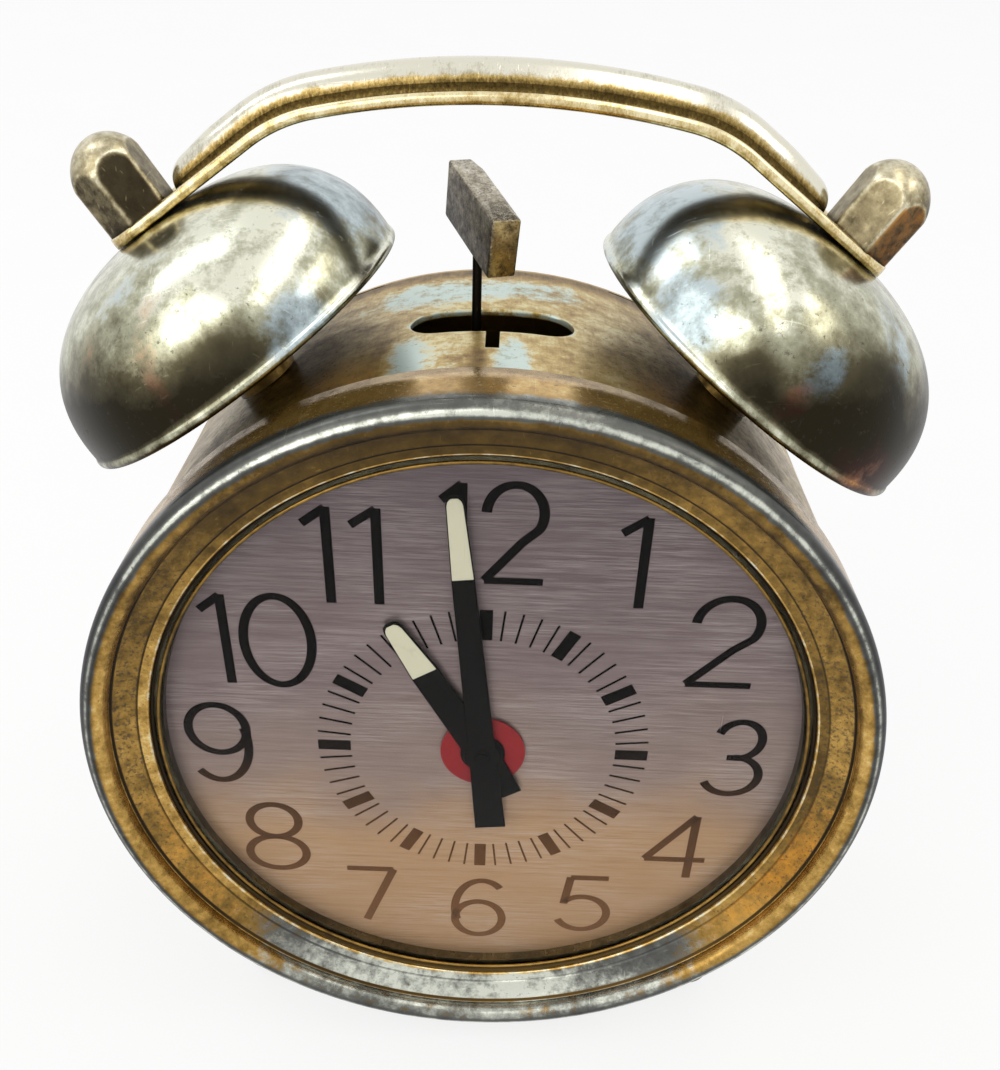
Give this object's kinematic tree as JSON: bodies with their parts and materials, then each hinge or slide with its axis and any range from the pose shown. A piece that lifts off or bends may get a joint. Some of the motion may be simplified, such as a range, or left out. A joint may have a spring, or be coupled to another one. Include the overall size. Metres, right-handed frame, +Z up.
{
  "type": "twin bell alarm clock",
  "caption": "Key-wound alarm clock with a round leaning case, bells on posts, a hammer between them, a carrying handle, splayed legs and a complete geared movement.",
  "frame": {"origin": "middle of the bounding box, on the surface that the clock stands on", "axes": "+X to the right of the dial, +Y to the back of the clock, +Z up; the case leans back by 6 degrees"},
  "size_m": [0.1128, 0.0732, 0.1376],
  "materials": {
    "gilt_brass": "tarnished, mottled",
    "glass": "clear",
    "black_paint": "satin",
    "dial_metal": "brushed",
    "bell_metal": "worn plating",
    "nut_metal": "worn",
    "handle_metal": "worn plating",
    "post_brass": "aged",
    "movement_brass": "satin",
    "steel": "satin",
    "hammer_steel": "worn",
    "spring_steel": "blued",
    "luminous_paint": "matt",
    "red_paint": "satin"
  },
  "bodies": {
    "case": {"case_drum": "gilt_brass", "bezel": "gilt_brass", "crystal": "glass", "dial_ring": "black_paint", "dial_plate": "dial_metal", "back_cover": "gilt_brass", "back_cover_screws": "steel", "left_bell": "bell_metal", "right_bell": "bell_metal", "left_bell_post": "post_brass", "right_bell_post": "post_brass", "left_bell_nut": "nut_metal", "right_bell_nut": "nut_metal", "handle": "handle_metal", "left_leg": "post_brass", "right_leg": "post_brass", "stud_nuts": "steel", "front_plate": "movement_brass", "back_plate": "movement_brass", "pillars": "steel", "pillar_nuts": "steel", "time_mainspring": "spring_steel", "alarm_mainspring": "spring_steel", "hairspring": "spring_steel", "release_spring": "steel"},
    "minute": {"minute_arbor": "steel", "cannon_pinion": "movement_brass", "minute_hand": "black_paint", "minute_lume": "luminous_paint", "set_knob": "post_brass"},
    "minute_wheel": {"minute_wheel": "movement_brass"},
    "hour": {"hour_wheel": "movement_brass", "hour_hand": "black_paint", "hour_lume": "luminous_paint"},
    "alarm_set": {"alarm_set_arbor": "steel", "alarm_set_knob": "post_brass"},
    "alarm_disc": {"alarm_wheel": "movement_brass", "alarm_disc": "red_paint"},
    "centre": {"centre_wheel": "movement_brass"},
    "time_great": {"time_great_wheel": "movement_brass"},
    "time_winding": {"time_arbor": "steel", "time_ratchet": "steel", "time_key": "post_brass"},
    "time_click": {"time_click": "steel"},
    "third": {"third_wheel": "movement_brass"},
    "fourth": {"fourth_wheel": "movement_brass"},
    "escape": {"escape_wheel": "movement_brass"},
    "pallets": {"pallet_lever": "steel"},
    "balance": {"balance_wheel": "movement_brass"},
    "regulator": {"regulator_lever": "steel"},
    "alarm_great": {"alarm_great_wheel": "movement_brass"},
    "alarm_winding": {"alarm_arbor": "steel", "alarm_ratchet": "steel", "alarm_key": "post_brass"},
    "alarm_click": {"alarm_click": "steel"},
    "alarm_escape": {"alarm_escape_wheel": "movement_brass"},
    "hammer": {"hammer_arbor": "steel", "hammer_arm": "hammer_steel"},
    "alarm_stop": {"alarm_stop": "post_brass"}
  },
  "joints": [
    {"name": "minute_turn", "type": "hinge", "parent": "case", "child": "minute", "pos_m": [0, -0.00266, 0.05607], "axis": [0, 0.9945, -0.1045], "continuous": true},
    {"name": "minute_wheel_turn", "type": "hinge", "parent": "case", "child": "minute_wheel", "pos_m": [0, -0.01653, 0.06758], "axis": [0, 0.9945, -0.1045], "continuous": true},
    {"name": "hour_turn", "type": "hinge", "parent": "case", "child": "hour", "pos_m": [0, -0.02155, 0.05805], "axis": [0, 0.9945, -0.1045], "continuous": true},
    {"name": "alarm_set_turn", "type": "hinge", "parent": "case", "child": "alarm_set", "pos_m": [0.009, -0.00429, 0.04056], "axis": [0, 0.9945, -0.1045], "continuous": true},
    {"name": "alarm_disc_turn", "type": "hinge", "parent": "case", "child": "alarm_disc", "pos_m": [0, -0.02155, 0.05805], "axis": [0, 0.9945, -0.1045], "continuous": true},
    {"name": "fourth_turn", "type": "hinge", "parent": "case", "child": "fourth", "pos_m": [-0.01902, 0.00006, 0.08187], "axis": [0, 0.9945, -0.1045], "continuous": true},
    {"name": "third_turn", "type": "hinge", "parent": "case", "child": "third", "pos_m": [-0.01379, -0.00145, 0.06757], "axis": [0, 0.9945, -0.1045], "continuous": true},
    {"name": "centre_turn", "type": "hinge", "parent": "case", "child": "centre", "pos_m": [0, -0.00266, 0.05607], "axis": [0, 0.9945, -0.1045], "continuous": true},
    {"name": "time_great_turn", "type": "hinge", "parent": "case", "child": "time_great", "pos_m": [-0.01806, -0.00398, 0.04349], "axis": [0, 0.9945, -0.1045], "continuous": true},
    {"name": "escape_turn", "type": "hinge", "parent": "case", "child": "escape", "pos_m": [-0.02966, -0.00014, 0.08001], "axis": [0, 0.9945, -0.1045], "continuous": true},
    {"name": "time_winding_turn", "type": "hinge", "parent": "case", "child": "time_winding", "pos_m": [-0.01806, -0.00398, 0.04349], "axis": [0, 0.9945, -0.1045], "continuous": true},
    {"name": "time_click_lift", "type": "hinge", "parent": "time_great", "child": "time_click", "pos_m": [-0.0082, -0.0036, 0.04706], "axis": [0, 0.9945, -0.1045], "range_deg": [0, 8], "stiffness_Nm_per_rad": 0.001, "springref_deg": -5.73},
    {"name": "pallet_rock", "type": "hinge", "parent": "case", "child": "pallets", "pos_m": [-0.03267, -0.001, 0.07178], "axis": [0, 0.9945, -0.1045], "range_deg": [-3, 3]},
    {"name": "balance_swing", "type": "hinge", "parent": "case", "child": "balance", "pos_m": [-0.03592, -0.00194, 0.0629], "axis": [0, 0.9945, -0.1045], "range_deg": [-270, 270], "stiffness_Nm_per_rad": 0.00001},
    {"name": "regulator_shift", "type": "hinge", "parent": "case", "child": "regulator", "pos_m": [-0.03592, 0.009, 0.06175], "axis": [0, 0.9945, -0.1045], "range_deg": [-20, 20]},
    {"name": "alarm_great_turn", "type": "hinge", "parent": "case", "child": "alarm_great", "pos_m": [0.01701, -0.00189, 0.06336], "axis": [0, 0.9945, -0.1045], "continuous": true},
    {"name": "alarm_escape_turn", "type": "hinge", "parent": "case", "child": "alarm_escape", "pos_m": [0.003, -0.00067, 0.07493], "axis": [0, 0.9945, -0.1045], "continuous": true},
    {"name": "alarm_winding_turn", "type": "hinge", "parent": "case", "child": "alarm_winding", "pos_m": [0.01701, -0.00189, 0.06336], "axis": [0, 0.9945, -0.1045], "continuous": true},
    {"name": "alarm_click_lift", "type": "hinge", "parent": "alarm_great", "child": "alarm_click", "pos_m": [0.02687, -0.00151, 0.06694], "axis": [0, 0.9945, -0.1045], "range_deg": [0, 8], "stiffness_Nm_per_rad": 0.001, "springref_deg": -5.73},
    {"name": "hammer_swing", "type": "hinge", "parent": "case", "child": "hammer", "pos_m": [-0.0026, 0.00048, 0.0859], "axis": [0, 0.9945, -0.1045], "range_deg": [-11, 18]},
    {"name": "alarm_stop_push", "type": "slide", "parent": "case", "child": "alarm_stop", "axis": [0, -0.9945, 0.1045], "range_m": [0, 0.003]}
  ],
  "couplings": [
    {"joint": "minute_wheel_turn", "follows": "minute_turn", "ratio": -0.33333},
    {"joint": "hour_turn", "follows": "minute_turn", "ratio": 0.083333},
    {"joint": "alarm_disc_turn", "follows": "alarm_set_turn", "ratio": -0.28571},
    {"joint": "third_turn", "follows": "fourth_turn", "ratio": -0.13333},
    {"joint": "centre_turn", "follows": "fourth_turn", "ratio": 0.016667},
    {"joint": "time_great_turn", "follows": "fourth_turn", "ratio": -0.0027778},
    {"joint": "escape_turn", "follows": "fourth_turn", "ratio": -8},
    {"joint": "alarm_escape_turn", "follows": "alarm_great_turn", "ratio": -6}
  ]
}
